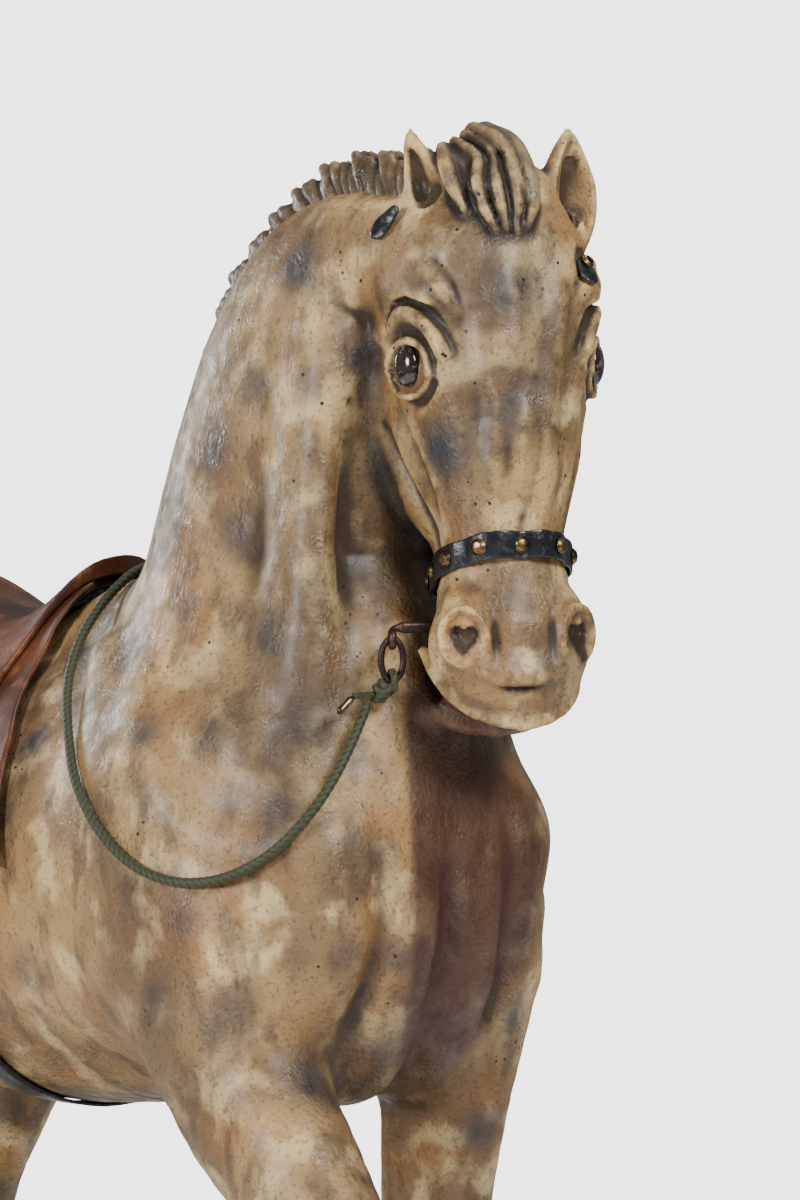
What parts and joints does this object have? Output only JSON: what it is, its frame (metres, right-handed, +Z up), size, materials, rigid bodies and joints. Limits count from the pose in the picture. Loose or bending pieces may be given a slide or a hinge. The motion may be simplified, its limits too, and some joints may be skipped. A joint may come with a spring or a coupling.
{
  "type": "carved wooden horse sculpture",
  "caption": "Carved and painted wooden horse with a raised foreleg, turned head, clipped mane, leather saddle, studded noseband, bit and cord rein, on a low plank.",
  "frame": {"origin": "centre of the bounding box on the underside of the base", "axes": "+Z up, the horse faces -Y, its right side is towards -X"},
  "size_m": [0.4, 1.06, 1.1418],
  "materials": {
    "painted_wood": "worn varnished dapple paint",
    "dark_wood": "plain dark stain",
    "brown_leather": "old polished leather",
    "black_leather": "old black leather",
    "brass": "dulled brass",
    "dark_iron": "dark forged iron",
    "green_cord": "twisted cotton cord"
  },
  "bodies": {
    "root": {"horse": "painted_wood", "base": "dark_wood", "girth": "black_leather", "right_saddle_flap": "brown_leather", "left_saddle_flap": "brown_leather", "saddle_seat": "brown_leather", "noseband": "black_leather", "right_browband_scrap": "black_leather", "left_browband_scrap": "black_leather", "browband_stud": "brass", "bit": "dark_iron", "bit_ring": "dark_iron", "rein_knot": "green_cord", "aglet": "brass", "rein": "green_cord", "rein_end_knot": "green_cord", "rein_nail": "dark_iron", "noseband_stud_1": "brass", "noseband_stud_2": "brass", "noseband_stud_3": "brass", "noseband_stud_4": "brass", "noseband_stud_5": "brass", "noseband_stud_6": "brass", "noseband_stud_7": "brass", "noseband_stud_8": "brass", "noseband_stud_9": "brass", "noseband_stud_10": "brass", "noseband_stud_11": "brass", "noseband_stud_12": "brass"}
  },
  "joints": []
}
